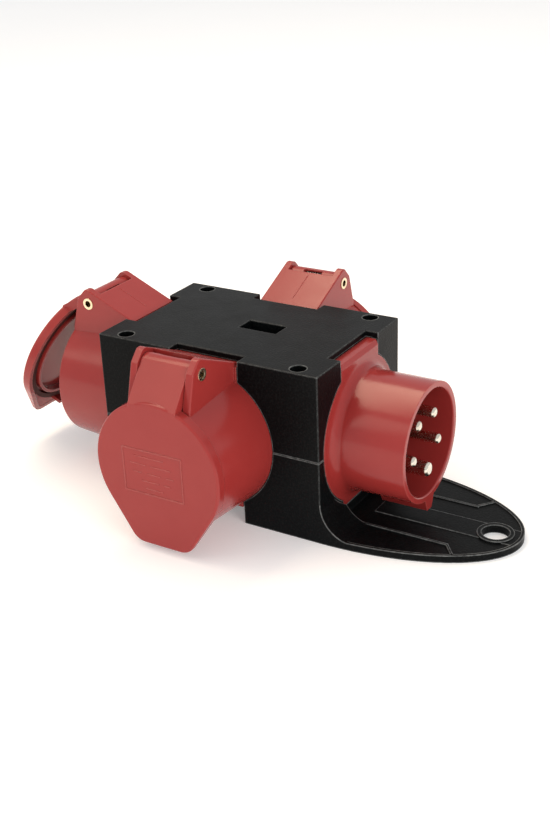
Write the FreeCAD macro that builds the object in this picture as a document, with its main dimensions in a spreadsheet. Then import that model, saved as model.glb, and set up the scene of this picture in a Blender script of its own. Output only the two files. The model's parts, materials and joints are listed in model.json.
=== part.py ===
"""Portable three-way power distributor: a five-pin inlet and three lidded five-hole sockets round a box.

Units are millimetres and +Z is up. The origin lies on the standing plane, below the middle of the inlet's
mounting face. +X points out of the box along the inlet, -Y points out of the box at the front socket.

The inlet and the sockets are drawn in a face frame: X out of the box, Z up, the origin at the foot of the
face's middle line. A placement then carries each finished piece to its own face.
"""

import FreeCAD, Part
import math
import os

import Sketcher
from FreeCAD import Placement, Rotation, Vector

DIMENSIONS = {
    "box_length": 116,
    "box_width": 78,
    "box_height": 81,
    "wall": 3,
    "seam_z": 40,
    "gap_high": 0.35,
    "gap_deep": 0.45,
    "floor_z": 8.4,
    "edge_round": 0.6,
    "top_round": 0.5,
    "lip_thick": 1.2,
    "lip_high": 2,
    "lip_gap": 0.1,
    "opening_over": 4,
    "notch_half": 18,
    "notch_deep": 6.4,
    "pocket_long": 20,
    "pocket_wide": 10,
    "pocket_deep": 12,
    "pocket_wall": 1.6,
    "pocket_off_x": 6.5,
    "pocket_off_y": 1.5,
    "screw_off_x": 45.9,
    "screw_off_y": 33.7,
    "screw_recess_rad": 3.75,
    "screw_head_rad": 3.2,
    "screw_head_high": 2.2,
    "screw_dome": 0.9,
    "cross_long": 1.9,
    "cross_thin": 0.4,
    "cross_deep": 1.2,
    "screw_shank_rad": 1.75,
    "screw_seat_z": 72,
    "screw_end_z": 24,
    "column_rad": 5.2,
    "column_inset": 0.5,
    "tongue_reach": 79.5,
    "tongue_thick": 3,
    "tongue_rim_wide": 1.6,
    "tongue_rim_high": 0.6,
    "root_round": 16.5,
    "root_clear": 1.5,
    "hole_x": 67.2,
    "hole_rad": 6.3,
    "ring_rad": 8.4,
    "ring_high": 1,
    "rib_off_y": 18.7,
    "rib_wide": 1.2,
    "rib_start_x": 10.5,
    "rib_end_x": 51.5,
    "rib_turn_long": 10,
    "rib_turn_angle": 52,
    "spine_half": 6.7,
    "spine_high": 0.4,
    "axis_z": 41.1,
    "flange_rad": 34.25,
    "flange_half": 17.4,
    "flange_top": 78,
    "flange_proud": 0.2,
    "fit_gap": 0.3,
    "gasket_thick": 0.8,
    "keeper_thick": 2.4,
    "keeper_grow": 2.5,
    "keeper_gap": 0.2,
    "collar_rad": 28,
    "collar_bore": 25.1,
    "collar_reach": 35,
    "collar_root": 4.4,
    "collar_lip": 0.7,
    "bevel_high": 2.6,
    "bevel_deep": 0.9,
    "key_rad": 33.6,
    "key_half": 5,
    "key_tip_half": 2.2,
    "key_start": 12,
    "key_sunk": 1.5,
    "pin_circle": 13.65,
    "pin_rad": 2.5,
    "earth_pin_rad": 3.5,
    "pin_reach": 33.8,
    "earth_pin_reach": 34.9,
    "pin_tip_round": 1.5,
    "contact_back": 18,
    "insert_rad": 24.8,
    "insert_hub_rad": 22,
    "insert_back": 16,
    "inlet_insert_front": 3,
    "socket_insert_front": 33,
    "sleeve_rad": 3.1,
    "sleeve_bore": 2.6,
    "earth_sleeve_rad": 4.1,
    "earth_sleeve_bore": 3.6,
    "sleeve_front": 28,
    "terminal_x": 11,
    "terminal_head_rad": 2.5,
    "terminal_shank_rad": 1.5,
    "terminal_head_near": 18.8,
    "terminal_head_far": 21.4,
    "thread_near": 14,
    "sleeve_bore_deep": 4,
    "rim_rad": 31.65,
    "tube_bore": 28.6,
    "tube_reach": 34.9,
    "tube_floor": 2.8,
    "keyway_half": 5.6,
    "keyway_rad": 33.9,
    "keyway_skin": 1,
    "keyway_top": 25,
    "keyway_start": 5,
    "bulge_round": 1.5,
    "ear_half": 16.2,
    "slot_half": 12.6,
    "slot_gap": 0.4,
    "slot_floor": 6.4,
    "slot_break": 2.5,
    "slot_lip": 27.4,
    "wedge_low": 60,
    "wedge_step": 1.2,
    "ear_rear": 0.5,
    "ear_rear_high": 7.1,
    "ear_crest": 1.7,
    "ear_crest_high": 7,
    "ear_nose": 6.4,
    "ear_nose_high": 2.1,
    "crown_round": 2,
    "ear_edge": 0.6,
    "hinge_out": 24,
    "hinge_z": 83.95,
    "rivet_rad": 2.5,
    "rivet_bore": 1.6,
    "rivet_head_rad": 2.85,
    "rivet_head_high": 0.3,
    "knuckle_rad": 5,
    "knuckle_half": 12.3,
    "knuckle_bore": 2.56,
    "coil_room_half": 5.2,
    "coil_room_rad": 4.1,
    "leg_room_front": 4.7,
    "leg_room_top": 2.2,
    "leg_room_back": 6,
    "coil_rad": 3.3,
    "coil_wire_rad": 0.5,
    "coil_turns": 6,
    "coil_pitch": 1.4,
    "coil_leg": 4.4,
    "lid_rad": 32.2,
    "lid_face": 40,
    "lid_back": 35.2,
    "lid_plate": 2.4,
    "lid_wall": 2.2,
    "lid_edge": 1.1,
    "tab_corner": 8,
    "tab_corner_y": 9.48,
    "tab_bottom": 3.2,
    "tab_angle": 32.9,
    "taper_top": 24,
    "hook_half": 3,
    "hook_back": 32,
    "hook_low": 7.5,
    "hook_thick": 1.8,
    "neck_wall": 2,
    "neck_sunk": 2,
    "neck_root": 5,
    "cheek_front": 3.2,
    "cheek_low": 3.7,
    "cheek_foot": 1.1,
    "label_long": 31.5,
    "label_high": 21.7,
    "label_off_y": 1.8,
    "label_off_z": 1.6,
    "label_line": 0.6,
    "label_rise": 0.25,
    "seal_inner": 27.4,
    "seal_outer": 29.9,
    "ring_rib_inner": 24.4,
    "ring_rib_outer": 26,
    "ring_rib_high": 3.4,
    "ajar_angle": 24,
    "wire_rad": 1.6,
    "wire_tail": 5,
    "splice_rad": 4,
    "splice_half": 2.5,
    "splice_low_z": 24,
    "splice_step": 9,
}

OUT_OF_FACE = Rotation(Vector(0, 0, 1), Vector(1, 0, 0))
SIDEWAYS = Rotation(Vector(0, 0, 1), Vector(0, 1, 0))
UPRIGHT = Rotation()

doc = FreeCAD.newDocument("distribution_box")
sheet = doc.addObject("Spreadsheet::Sheet", "dims")
for row, (alias, number) in enumerate(DIMENSIONS.items(), start=1):
    sheet.set(f"A{row}", alias)
    sheet.set(f"B{row}", str(number))
    sheet.setAlias(f"B{row}", alias)
doc.recompute()

SUBPARTS = []


def size(formula):
    """The number that a formula on the sheet's aliases gives now."""
    result = sheet.evalExpression(formula)
    return float(getattr(result, "Value", result))


def bind(item, **formulas):
    """Ties an object's properties to formulas on the sheet."""
    for name, formula in formulas.items():
        item.setExpression(name, formula)
    return item


def put(item, rotation, x, y, z):
    """Turns an object and ties its place to three formulas."""
    item.Placement = Placement(Vector(size(x), size(y), size(z)), rotation)
    for letter, formula in zip("xyz", (x, y, z)):
        item.setExpression(f".Placement.Base.{letter}", formula)
    return item


def block(name, x, y, z):
    """A box between two formulas along each axis."""
    item = doc.addObject("Part::Box", name)
    bind(
        item,
        Length=f"({x[1]}) - ({x[0]})",
        Width=f"({y[1]}) - ({y[0]})",
        Height=f"({z[1]}) - ({z[0]})",
    )
    return put(item, UPRIGHT, x[0], y[0], z[0])


def out_rod(name, radius, x, y="0", z="dims.axis_z"):
    """A cylinder that points out of the face, between two formulas along X."""
    item = doc.addObject("Part::Cylinder", name)
    bind(item, Radius=radius, Height=f"({x[1]}) - ({x[0]})")
    return put(item, OUT_OF_FACE, x[0], y, z)


def side_rod(name, radius, y, x="dims.hinge_out", z="dims.hinge_z"):
    """A cylinder that runs sideways along Y, on the hinge line unless told otherwise."""
    item = doc.addObject("Part::Cylinder", name)
    bind(item, Radius=radius, Height=f"({y[1]}) - ({y[0]})")
    return put(item, SIDEWAYS, x, y[0], z)


def up_rod(name, radius, z, x, y):
    """An upright cylinder."""
    item = doc.addObject("Part::Cylinder", name)
    bind(item, Radius=radius, Height=f"({z[1]}) - ({z[0]})")
    return put(item, UPRIGHT, x, y, z[0])


def draw(sketch, corners):
    """Draws a closed outline through corners, each a pair of formulas, and ties every corner to them."""
    spots = [Vector(size(a), size(b), 0) for a, b in corners]
    count = len(spots)
    for i, spot in enumerate(spots):
        sketch.addGeometry(Part.LineSegment(spot, spots[(i + 1) % count]), False)
    for i in range(count):
        sketch.addConstraint(Sketcher.Constraint("Coincident", i, 2, (i + 1) % count, 1))
    for i, (corner, spot) in enumerate(zip(corners, spots)):
        for kind, formula, number in (("DistanceX", corner[0], spot.x), ("DistanceY", corner[1], spot.y)):
            index = sketch.addConstraint(Sketcher.Constraint(kind, -1, 1, i, 1, number))
            sketch.setExpression(f"Constraints[{index}]", formula)


def side_profile(name, corners, y):
    """A plate whose outline is drawn in the face frame's X and Z, from one formula along Y to another."""
    sketch = doc.addObject("Sketcher::SketchObject", name + "_sketch")
    put(sketch, Rotation(Vector(1, 0, 0), 90), "0", y[0], "0")
    draw(sketch, corners)
    item = doc.addObject("Part::Extrusion", name)
    item.Base = sketch
    item.DirMode = "Custom"
    item.Dir = Vector(0, 1, 0)
    item.Solid = True
    return bind(item, LengthFwd=f"({y[1]}) - ({y[0]})")


def front_profile(name, corners, x):
    """A plate whose outline is drawn in the face frame's Y and Z, from one formula along X to another."""
    sketch = doc.addObject("Sketcher::SketchObject", name + "_sketch")
    put(sketch, Rotation(Vector(0, 1, 0), Vector(0, 0, 1), Vector(1, 0, 0), "ZXY"), x[0], "0", "0")
    draw(sketch, corners)
    item = doc.addObject("Part::Extrusion", name)
    item.Base = sketch
    item.DirMode = "Custom"
    item.Dir = Vector(1, 0, 0)
    item.Solid = True
    return bind(item, LengthFwd=f"({x[1]}) - ({x[0]})")


def fuse(name, *items):
    item = doc.addObject("Part::MultiFuse", name)
    item.Shapes = list(items)
    item.Refine = True
    return item


def common(name, *items):
    item = doc.addObject("Part::MultiCommon", name)
    item.Shapes = list(items)
    return item


def cut(name, base, *tools):
    item = doc.addObject("Part::Cut", name)
    item.Base = base
    item.Tool = tools[0] if len(tools) == 1 else fuse(name + "_tools", *tools)
    item.Refine = True
    return item


def group(name, *items):
    """Separate solids that share one node."""
    item = doc.addObject("Part::Compound", name)
    item.Links = list(items)
    return item


def carried(name, item, placement):
    """A piece drawn in the face frame, carried to its wall."""
    holder = group(name, item)
    holder.Placement = placement
    return holder


def rounded(name, base, radius, wanted):
    """Rounds the edges of a piece that a test picks."""
    doc.recompute()
    item = doc.addObject("Part::Fillet", name)
    item.Base = base
    chosen = [i for i, edge in enumerate(base.Shape.Edges, start=1) if wanted(edge)]
    if not chosen:
        raise RuntimeError(f"{name}: no edge to round")
    item.Edges = [(i, size(radius), size(radius)) for i in chosen]
    return item


def flat_at(letter, number):
    """A test for edges that lie in a plane across one axis."""

    def test(edge):
        low = getattr(edge.BoundBox, letter + "Min")
        high = getattr(edge.BoundBox, letter + "Max")
        return abs(low - number) < 1e-3 and abs(high - number) < 1e-3

    return test


def finish(node, item, placement=None):
    """Names a finished sub-part and carries it to its place."""
    item.Label = node
    if placement is not None:
        item.Placement = placement.multiply(item.Placement)
    SUBPARTS.append((node, item))


def face_placement(x, y, turn):
    """Carries the face frame to a wall of the box."""
    return Placement(Vector(x, y, 0), Rotation(Vector(0, 0, 1), turn))


MIDDLE_X = -size("dims.box_length") / 2
SIDE_Y = size("dims.box_width") / 2
FACES = {
    "inlet": face_placement(0, 0, 0),
    "front": face_placement(MIDDLE_X, -SIDE_Y, -90),
    "left": face_placement(2 * MIDDLE_X, 0, 180),
    "back": face_placement(MIDDLE_X, SIDE_Y, 90),
}


# ---------------------------------------------------------------- outline of every wall opening


def flange_outline(name, grow, x):
    """The round flange with its square top and cut-off foot, grown all round by a formula."""
    round_part = out_rod(name + "_round", f"dims.flange_rad + {grow}", x)
    trim = block(
        name + "_trim",
        (f"{x[0]} - 1", f"{x[1]} + 1"),
        ("-dims.box_width", "dims.box_width"),
        (f"dims.floor_z - {grow}", "dims.box_height"),
    )
    stem = block(
        name + "_stem",
        x,
        (f"-dims.flange_half - {grow}", f"dims.flange_half + {grow}"),
        (f"dims.floor_z - {grow}", "dims.flange_top"),
    )
    return fuse(name, common(name + "_disc", round_part, trim), stem)


def keeper(name, x):
    """The wider outline behind the wall, trimmed to the space inside the box."""
    wide = fuse(
        name + "_wide",
        out_rod(name + "_round", "dims.flange_rad + dims.keeper_grow", x),
        block(
            name + "_stem",
            x,
            ("-dims.flange_half - dims.keeper_grow", "dims.flange_half + dims.keeper_grow"),
            ("dims.floor_z", "dims.flange_top"),
        ),
    )
    room = block(
        name + "_room",
        (f"{x[0]} - 1", f"{x[1]} + 1"),
        (
            "-dims.box_width / 2 + dims.wall + dims.keeper_gap",
            "dims.box_width / 2 - dims.wall - dims.keeper_gap",
        ),
        ("dims.floor_z + dims.wall + dims.keeper_gap", "dims.flange_top - dims.keeper_gap"),
    )
    return common(name, wide, room)


GASKET_BACK = "-dims.wall - dims.gasket_thick"
KEEPER_BACK = "-dims.wall - dims.gasket_thick - dims.keeper_thick"


def flange_parts(name):
    """The flange in its wall opening and the keeper plate behind the wall."""
    return (
        flange_outline(name + "_flange", "0", (GASKET_BACK, "dims.flange_proud")),
        keeper(name + "_keeper", (KEEPER_BACK, GASKET_BACK)),
    )


def flange_gasket(face):
    """The flat seal between the wall and the keeper plate."""
    name = face + "_flange_gasket"
    ring = cut(
        name,
        keeper(name + "_sheet", (GASKET_BACK, "-dims.wall")),
        flange_outline(name + "_hole", "0", (f"{GASKET_BACK} - 1", "0")),
    )
    finish(name, ring, FACES[face])


# ---------------------------------------------------------------- box


def wall_openings(name, low_z, high_z):
    """One opening per wall, a fit gap larger than the flange, between two heights."""
    openings = []
    for face, placement in FACES.items():
        depth = ("-dims.wall - dims.opening_over", "dims.opening_over")
        hole = flange_outline(f"{name}_{face}", "dims.fit_gap", depth)
        hole.Placement = placement
        openings.append(hole)
    room = block(
        name + "_room",
        ("-2 * dims.box_length", "dims.box_length"),
        ("-dims.box_width", "dims.box_width"),
        (low_z, high_z),
    )
    return common(name, fuse(name + "_all", *openings), room)


def screw_spots():
    """The plan places of the four corner screws."""
    for i, (sx, sy) in enumerate(((-1, -1), (1, -1), (1, 1), (-1, 1)), start=1):
        yield i, f"-dims.box_length / 2 + {sx} * dims.screw_off_x", f"{sy} * dims.screw_off_y"


def corner_columns(name, z):
    return [up_rod(f"{name}_{i}", "dims.column_rad", z, x, y) for i, x, y in screw_spots()]


def shell(name, z, cavity_z):
    """A rectangular block with softened upright corners and its cavity."""
    half = "dims.box_width / 2"
    outside = block(name + "_outside", ("-dims.box_length", "0"), (f"-{half}", half), z)
    upright = rounded(
        name + "_corners",
        outside,
        "dims.edge_round",
        lambda edge: edge.BoundBox.ZLength > 1,
    )
    cavity = block(
        name + "_cavity",
        ("-dims.box_length + dims.wall", "-dims.wall"),
        (f"-{half} + dims.wall", f"{half} - dims.wall"),
        cavity_z,
    )
    return upright, cavity


def within_box(name, item):
    """Trims a piece to the box's own plan, so a column never stands out of a wall."""
    plan = block(
        name + "_plan",
        ("-dims.box_length + dims.column_inset", "-dims.column_inset"),
        ("-dims.box_width / 2 + dims.column_inset", "dims.box_width / 2 - dims.column_inset"),
        ("-1", "dims.box_height - dims.column_inset"),
    )
    return common(name, item, plan)


def lip(name, grow, z):
    """The step at the seam: the inner part of the wall, as a frame."""
    stand = f"dims.wall - dims.lip_thick - {grow}"
    outer = block(
        name + "_outer",
        (f"-dims.box_length + {stand}", f"-({stand})"),
        (f"-dims.box_width / 2 + {stand}", f"dims.box_width / 2 - ({stand})"),
        z,
    )
    inner = block(
        name + "_inner",
        ("-dims.box_length + dims.wall", "-dims.wall"),
        ("-dims.box_width / 2 + dims.wall", "dims.box_width / 2 - dims.wall"),
        (f"{z[0]} - 1", f"{z[1]} + 1"),
    )
    return cut(name, outer, inner)


def top_cover():
    """The upper shell: walls down to the seam, notches over the flanges, a pocket and screw recesses."""
    wall_z = ("dims.seam_z", "dims.box_height")
    outside, cavity = shell("cover", wall_z, ("dims.seam_z - 1", "dims.flange_top"))
    pocket_x = "-dims.box_length / 2 + dims.pocket_off_x"

    def pocket_block(name, grow, top):
        half_long = f"(dims.pocket_long / 2 + {grow})"
        half_wide = f"(dims.pocket_wide / 2 + {grow})"
        return block(
            name,
            (f"{pocket_x} - {half_long}", f"{pocket_x} + {half_long}"),
            (f"dims.pocket_off_y - {half_wide}", f"dims.pocket_off_y + {half_wide}"),
            (f"dims.box_height - dims.pocket_deep - {grow}", top),
        )

    pocket_cup = pocket_block("pocket_cup", "dims.pocket_wall", "dims.flange_top + 1")
    pocket = pocket_block("pocket", "0", "dims.box_height + 1")
    notches = []
    for face, placement in FACES.items():
        notch = block(
            "notch_" + face,
            ("-dims.notch_deep", "1"),
            ("-dims.notch_half", "dims.notch_half"),
            ("dims.flange_top", "dims.box_height + 1"),
        )
        notches.append(carried("carried_notch_" + face, notch, placement))
    hollow = cut("cover_hollow", outside, cavity, *notches)
    posts = corner_columns("cover_column", ("dims.seam_z", "dims.flange_top + 1"))
    columns = within_box("cover_columns", group("cover_column_set", *posts))
    solid = fuse("cover_solid", hollow, columns, pocket_cup)
    recess_z = ("dims.screw_seat_z", "dims.box_height + 1")
    bore_z = ("dims.seam_z - 1", "dims.screw_seat_z + 1")
    recesses = [up_rod(f"recess_{i}", "dims.screw_recess_rad", recess_z, x, y) for i, x, y in screw_spots()]
    bores = [
        up_rod(f"cover_bore_{i}", "dims.screw_shank_rad + 0.2", bore_z, x, y) for i, x, y in screw_spots()
    ]
    step_z = ("dims.seam_z - 1", "dims.seam_z + dims.lip_high + dims.lip_gap")
    step = lip("cover_step", "dims.lip_gap", step_z)
    openings = wall_openings("cover_openings", "0", "dims.flange_top + 1")
    top_z = size("dims.box_height")

    def top_edge(edge):
        return flat_at("Z", top_z)(edge) and not hasattr(edge.Curve, "Radius")

    shadow_gap = cut(
        "shadow_gap",
        block(
            "gap_outer",
            ("-dims.box_length - 1", "1"),
            ("-dims.box_width / 2 - 1", "dims.box_width / 2 + 1"),
            ("dims.seam_z - 0.5", "dims.seam_z + dims.gap_high"),
        ),
        block(
            "gap_inner",
            ("-dims.box_length + dims.gap_deep", "-dims.gap_deep"),
            ("-dims.box_width / 2 + dims.gap_deep", "dims.box_width / 2 - dims.gap_deep"),
            ("dims.seam_z - 1", "dims.seam_z + 1"),
        ),
    )
    walls = cut("cover_walls", solid, pocket, step, openings, shadow_gap)
    softened = rounded("cover_soft", walls, "dims.top_round", top_edge)
    finish("top_cover", cut("top_cover", softened, *recesses, *bores))


def tongue():
    """The flat rounded foot in front of the inlet, with its rim, ribs, hanging hole and curved root."""
    half = "dims.box_width / 2"

    def half_ellipse(name, inset, z):
        curve = doc.addObject("Part::Ellipse", name + "_curve")
        bind(curve, MajorRadius=f"dims.tongue_reach - {inset}", MinorRadius=f"{half} - {inset}")
        put(curve, UPRIGHT, "0", "0", z[0])
        plate = doc.addObject("Part::Extrusion", name + "_plate")
        plate.Base = curve
        plate.DirMode = "Custom"
        plate.Dir = Vector(0, 0, 1)
        plate.Solid = True
        bind(plate, LengthFwd=f"({z[1]}) - ({z[0]})")
        front = block(name + "_front", ("-dims.wall", "2 * dims.tongue_reach"), (f"-{half}", half), z)
        return common(name, plate, front)

    rim_top = "dims.tongue_thick + dims.tongue_rim_high"
    rim = half_ellipse("tongue_rim", "0", ("0", rim_top))
    dish = half_ellipse("tongue_dish", "dims.tongue_rim_wide", ("dims.tongue_thick", f"{rim_top} + 1"))
    tray = cut("tongue_tray", rim, dish)

    root_high = "dims.tongue_thick + dims.root_round"
    root_block = common(
        "root_block",
        half_ellipse("root_plan", "0", ("0", root_high)),
        block("root_room", ("-dims.wall", "dims.root_round"), (f"-{half}", half), ("0", root_high)),
    )
    root_y = (f"-{half} - 1", f"{half} + 1")
    root_hollow = side_rod("root_hollow", "dims.root_round", root_y, "dims.root_round", root_high)
    root_x = ("dims.flange_proud", "dims.root_round + 1")
    clearance = flange_outline("root_clearance", "dims.root_clear", root_x)
    clearance_room = block(
        "root_clearance_room",
        ("0", "dims.root_round + 1"),
        ("-dims.flange_rad - 2", "dims.flange_rad + 2"),
        ("dims.tongue_thick", root_high),
    )
    lower = block(
        "root_clearance_foot",
        root_x,
        ("-dims.flange_half - dims.root_clear", "dims.flange_half + dims.root_clear"),
        ("dims.tongue_thick", "dims.floor_z"),
    )
    scoop = common("root_scoop", clearance, clearance_room)
    root = cut("tongue_root", root_block, root_hollow, scoop, lower)

    ribs = []
    rib_half = "dims.rib_wide / 2"
    for side, sign in (("near", -1), ("far", 1)):
        rib_y = f"{sign} * dims.rib_off_y"
        ribs.append(
            block(
                f"rib_{side}",
                ("dims.rib_start_x", "dims.rib_end_x"),
                (f"{rib_y} - {rib_half}", f"{rib_y} + {rib_half}"),
                ("dims.tongue_thick - 1", rim_top),
            )
        )
        turn = block(
            f"rib_turn_{side}",
            ("0", "dims.rib_turn_long"),
            (f"-{rib_half}", rib_half),
            ("0", "1 + dims.tongue_rim_high"),
        )
        swing = Rotation(Vector(0, 0, 1), sign * size("dims.rib_turn_angle"))
        put(turn, swing, "dims.rib_end_x - dims.rib_wide / 4", rib_y, "dims.tongue_thick - 1")
        ribs.append(turn)
    spine = block(
        "spine",
        ("dims.rib_start_x", "dims.tongue_reach - 1"),
        ("-dims.spine_half", "dims.spine_half"),
        ("dims.tongue_thick - 1", "dims.tongue_thick + dims.spine_high"),
    )
    trim = half_ellipse("tongue_trim", "0.2", ("0", "2 * dims.tongue_thick"))
    ring_z = ("0", "dims.tongue_thick + dims.ring_high")
    ring = up_rod("hole_ring", "dims.ring_rad", ring_z, "dims.hole_x", "0")
    details = common("tongue_details", fuse("tongue_relief", spine, *ribs), trim)
    hole = up_rod("hanging_hole", "dims.hole_rad", ("-1", "2 * dims.tongue_thick"), "dims.hole_x", "0")
    return cut("tongue", fuse("tongue_solid", tray, root, details, ring), hole)


def base_shell():
    """The lower shell: walls, a raised floor, screw columns, the seam lip and the tongue."""
    outside, cavity = shell("base", ("0", "dims.seam_z"), ("dims.floor_z + dims.wall", "dims.seam_z + 1"))
    underside = block(
        "base_underside",
        ("-dims.box_length + dims.wall", "-dims.wall"),
        ("-dims.box_width / 2 + dims.wall", "dims.box_width / 2 - dims.wall"),
        ("-1", "dims.floor_z"),
    )
    hollow = cut("base_hollow", outside, cavity, underside)
    posts = corner_columns("base_column", ("dims.floor_z", "dims.seam_z"))
    columns = within_box("base_columns", group("base_column_set", *posts))
    ridge = lip("base_lip", "0", ("dims.seam_z - 1", "dims.seam_z + dims.lip_high"))
    solid = fuse("base_solid", hollow, columns, ridge, tongue())
    gaps = []
    for face in ("front", "left", "back"):
        gap = block(
            "skirt_gap_" + face,
            ("-dims.wall", "1"),
            ("-dims.notch_half", "dims.notch_half"),
            ("-1", "dims.floor_z + 1"),
        )
        gaps.append(carried("carried_gap_" + face, gap, FACES[face]))
    bores = [
        up_rod(f"base_bore_{i}", "dims.screw_shank_rad", ("dims.screw_end_z - 2", "dims.seam_z + 5"), x, y)
        for i, x, y in screw_spots()
    ]
    openings = wall_openings("base_openings", "dims.floor_z - dims.fit_gap", "dims.box_height")
    column_room = [
        up_rod(f"lip_relief_{i}", "dims.column_rad + 0.3", ("dims.seam_z", "dims.seam_z + 5"), x, y)
        for i, x, y in screw_spots()
    ]
    finish("base_shell", cut("base_shell", solid, openings, *gaps, *bores, *column_room))


def cover_screws():
    """Four long self-tapping screws with domed, cross-slotted heads."""
    screws = []
    head_top = "dims.screw_seat_z + dims.screw_head_high"
    shank_z = ("dims.screw_end_z", "dims.screw_seat_z + 1")
    cross = (("dims.cross_long", "dims.cross_thin"), ("dims.cross_thin", "dims.cross_long"))
    for i, x, y in screw_spots():
        head = up_rod(f"screw_head_{i}", "dims.screw_head_rad", ("dims.screw_seat_z", head_top), x, y)
        dome = rounded(f"screw_dome_{i}", head, "dims.screw_dome", flat_at("Z", size(head_top)))
        shank = up_rod(f"screw_shank_{i}", "dims.screw_shank_rad", shank_z, x, y)
        slots = [
            block(
                f"screw_slot_{i}_{k}",
                (f"{x} - {long}", f"{x} + {long}"),
                (f"{y} - {wide}", f"{y} + {wide}"),
                (f"{head_top} - dims.cross_deep", f"{head_top} + 1"),
            )
            for k, (long, wide) in enumerate(cross)
        ]
        screws.append(cut(f"screw_{i}", fuse(f"screw_solid_{i}", dome, shank), *slots))
    finish("cover_screws", group("cover_screws", *screws))


# ---------------------------------------------------------------- contacts, shared by inlet and sockets

CLOCK_ANGLES = (36, 108, 252, 324)


def clock_spot(angle):
    """A place on the contact circle, as formulas for Y and Z; the angle runs from 12 o'clock."""
    return (
        f"dims.pin_circle * sin({angle} deg)",
        f"dims.axis_z + dims.pin_circle * cos({angle} deg)",
    )


def insert(face, front, hole, earth_hole):
    """The round contact carrier, with five holes along it and five terminal holes round its hub."""
    name = face + "_insert"
    body = fuse(
        name + "_body",
        out_rod(name + "_drum", "dims.insert_rad", (KEEPER_BACK, front)),
        out_rod(name + "_hub", "dims.insert_hub_rad", ("-dims.insert_back", "0")),
    )
    holes = []
    length = ("-dims.insert_back - 1", f"{front} + 1")
    port_near, port_far = "dims.terminal_head_near - 0.2", "dims.insert_rad + 1"
    thread = ("dims.thread_near", "dims.terminal_head_near + 1")
    for angle in CLOCK_ANGLES + (180,):
        y, z = clock_spot(angle)
        radius = earth_hole if angle == 180 else hole
        holes.append(out_rod(f"{name}_hole_{angle}", radius, length, y, z))
        port_rad = "dims.terminal_head_rad + 0.2"
        holes.append(radial_rod(f"{name}_port_{angle}", port_rad, port_near, port_far, angle))
        holes.append(radial_rod(f"{name}_thread_{angle}", "dims.terminal_shank_rad", *thread, angle))
    softened = rounded(name + "_edge", body, "0.5", lambda edge: flat_at("X", size(front))(edge))
    finish(name, cut(name, softened, *holes), FACES[face])


def radial_rod(name, radius, near, far, angle):
    """A cylinder in the terminal plane that points away from the contact axis at a clock angle."""
    item = doc.addObject("Part::Cylinder", name)
    bind(item, Radius=radius, Height=f"({far}) - ({near})")
    lean = math.radians(angle)
    turn = Rotation(Vector(0, 0, 1), Vector(0, math.sin(lean), math.cos(lean)))
    return put(
        item,
        turn,
        "-dims.terminal_x",
        f"({near}) * sin({angle} deg)",
        f"dims.axis_z + ({near}) * cos({angle} deg)",
    )


def terminal_screws(face):
    """Five clamping screws, one for each contact."""
    name = face + "_terminal_screws"
    screws = []
    near, far = "dims.terminal_head_near", "dims.terminal_head_far"
    for angle in CLOCK_ANGLES + (180,):
        contact = "dims.earth_sleeve_rad" if angle == 180 else "dims.sleeve_rad"
        inner = f"dims.pin_circle + {contact} + 0.2"
        head = radial_rod(f"{name}_head_{angle}", "dims.terminal_head_rad", near, far, angle)
        shank = radial_rod(f"{name}_shank_{angle}", "dims.terminal_shank_rad", inner, f"{near} + 0.2", angle)
        screws.append(fuse(f"{name}_{angle}", head, shank))
    finish(name, group(name, *screws), FACES[face])


# ---------------------------------------------------------------- inlet


def inlet_housing():
    """The flange with the long round collar that shrouds the pins, and the key under it."""
    flange, plate = flange_parts("inlet")
    collar = out_rod("collar", "dims.collar_rad", ("-1", "dims.collar_reach"))
    stem = fuse("inlet_stem", flange, collar)
    flange_face = size("dims.flange_proud")
    radius = size("dims.collar_rad")

    def root_edge(edge):
        circle = getattr(edge.Curve, "Radius", 0)
        return abs(circle - radius) < 1e-3 and flat_at("X", flange_face)(edge)

    filleted = rounded("inlet_root", stem, "dims.collar_root", root_edge)
    key_top = "dims.axis_z - dims.collar_rad + dims.key_sunk"
    key = front_profile(
        "inlet_key",
        [
            ("-dims.key_half", key_top),
            ("dims.key_half", key_top),
            ("dims.key_tip_half", "dims.axis_z - dims.key_rad"),
            ("-dims.key_tip_half", "dims.axis_z - dims.key_rad"),
        ],
        ("dims.key_start", "dims.collar_reach"),
    )
    bevel_front, bevel_top = "dims.flange_proud + 0.1", "dims.flange_top + 0.1"
    bevel = side_profile(
        "inlet_bevel",
        [
            (bevel_front, "dims.flange_top - dims.bevel_high"),
            (bevel_front, bevel_top),
            ("-dims.bevel_deep", bevel_top),
        ],
        ("-dims.flange_half - 1", "dims.flange_half + 1"),
    )
    bore = out_rod("inlet_bore", "dims.collar_bore", ("-dims.tube_floor", "dims.collar_reach + 1"))
    seat = out_rod("inlet_seat", "dims.insert_rad", (f"{KEEPER_BACK} - 1", "0"))
    solid = fuse("inlet_solid", filleted, plate, key)
    raw = cut("inlet_raw", solid, bore, seat, bevel)
    rim, mouth = size("dims.collar_reach"), size("dims.collar_bore")

    def rim_edge(edge):
        return flat_at("X", rim)(edge) and abs(getattr(edge.Curve, "Radius", 0) - mouth) < 1e-3

    finish("inlet_housing", rounded("inlet_rim", raw, "dims.collar_lip", rim_edge), FACES["inlet"])


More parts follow.
